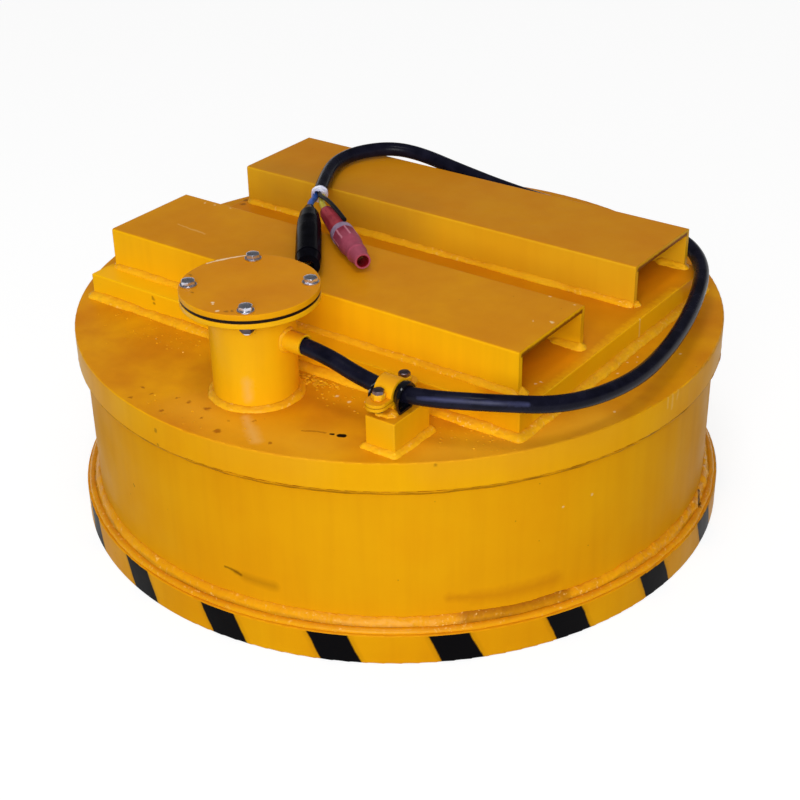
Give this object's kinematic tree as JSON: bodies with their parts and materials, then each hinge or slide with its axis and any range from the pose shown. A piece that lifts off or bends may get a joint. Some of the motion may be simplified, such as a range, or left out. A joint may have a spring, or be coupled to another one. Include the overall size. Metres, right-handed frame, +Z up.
{
  "type": "scrap lifting electromagnet",
  "caption": "Round steel pot electromagnet for lifting scrap, with fork pockets on its back, a round junction box, a clamped supply cable and two loose connectors.",
  "frame": {"origin": "middle of the pole face, on the plane that the magnet stands on", "axes": "+Z up through the back of the magnet, X along the fork pockets, -Y towards the junction box"},
  "size_m": [0.92, 0.92, 0.4419],
  "materials": {
    "yellow_enamel": "glossy orange-yellow enamel, chipped and stained",
    "striped_enamel": "yellow enamel with slanted black stripes",
    "bare_steel": "machined steel, dulled",
    "zinc_steel": "zinc plated, dulled",
    "rusted_steel": "dark oxidised steel",
    "coil_strip": "wound aluminium strip, anodised for insulation",
    "insulation_board": "pressed glass and resin board",
    "potting_resin": "cast resin",
    "brass": "machined",
    "black_rubber": "satin moulded or extruded rubber",
    "red_rubber": "worn moulded rubber",
    "grey_plastic": "moulded, dusty",
    "white_plastic": "moulded nylon",
    "blue_insulation": "extruded core insulation",
    "yellow_insulation": "extruded core insulation",
    "black_insulation": "extruded core insulation"
  },
  "bodies": {
    "root": {"top_plate": "yellow_enamel", "shell_wall": "yellow_enamel", "ring_weld": "yellow_enamel", "rim_weld": "yellow_enamel", "base_plate": "yellow_enamel", "base_plate_weld": "yellow_enamel", "front_fork_pocket": "yellow_enamel", "rear_fork_pocket": "yellow_enamel", "front_pocket_welds": "yellow_enamel", "rear_pocket_welds": "yellow_enamel", "junction_tube": "yellow_enamel", "junction_weld": "yellow_enamel", "junction_flange": "yellow_enamel", "junction_cover": "yellow_enamel", "cable_outlet": "yellow_enamel", "outlet_weld": "yellow_enamel", "clamp_block": "yellow_enamel", "clamp_block_weld": "yellow_enamel", "clamp_seat_welds": "yellow_enamel", "clamp_lower_strap": "yellow_enamel", "clamp_upper_strap": "yellow_enamel", "clamp_spacers": "yellow_enamel", "outer_pole_ring": "striped_enamel", "inner_pole": "bare_steel", "inner_pole_shoe": "bare_steel", "guard_plate": "bare_steel", "pole_shoe_bolts": "bare_steel", "cover_bolts": "zinc_steel", "cover_washers": "zinc_steel", "cover_nuts": "zinc_steel", "clamp_bolts": "rusted_steel", "clamp_nuts": "rusted_steel", "coil_pancake_1": "coil_strip", "coil_pancake_2": "coil_strip", "coil_pancake_3": "coil_strip", "coil_pancake_4": "coil_strip", "coil_sleeve": "insulation_board", "coil_base_board": "insulation_board", "coil_separators": "insulation_board", "coil_top_board": "insulation_board", "terminal_board": "insulation_board", "potting_compound": "potting_resin", "coil_leads": "brass", "terminal_nuts": "brass", "black_contact": "brass", "red_contact": "brass", "junction_gasket": "black_rubber", "clamp_sleeve": "black_rubber", "power_cable": "black_rubber", "black_connector": "black_rubber", "red_connector": "red_rubber", "red_connector_band": "grey_plastic", "cable_tie": "white_plastic", "blue_core": "blue_insulation", "yellow_core": "yellow_insulation", "black_core": "black_insulation", "inner_wires": "black_insulation"}
  },
  "joints": []
}
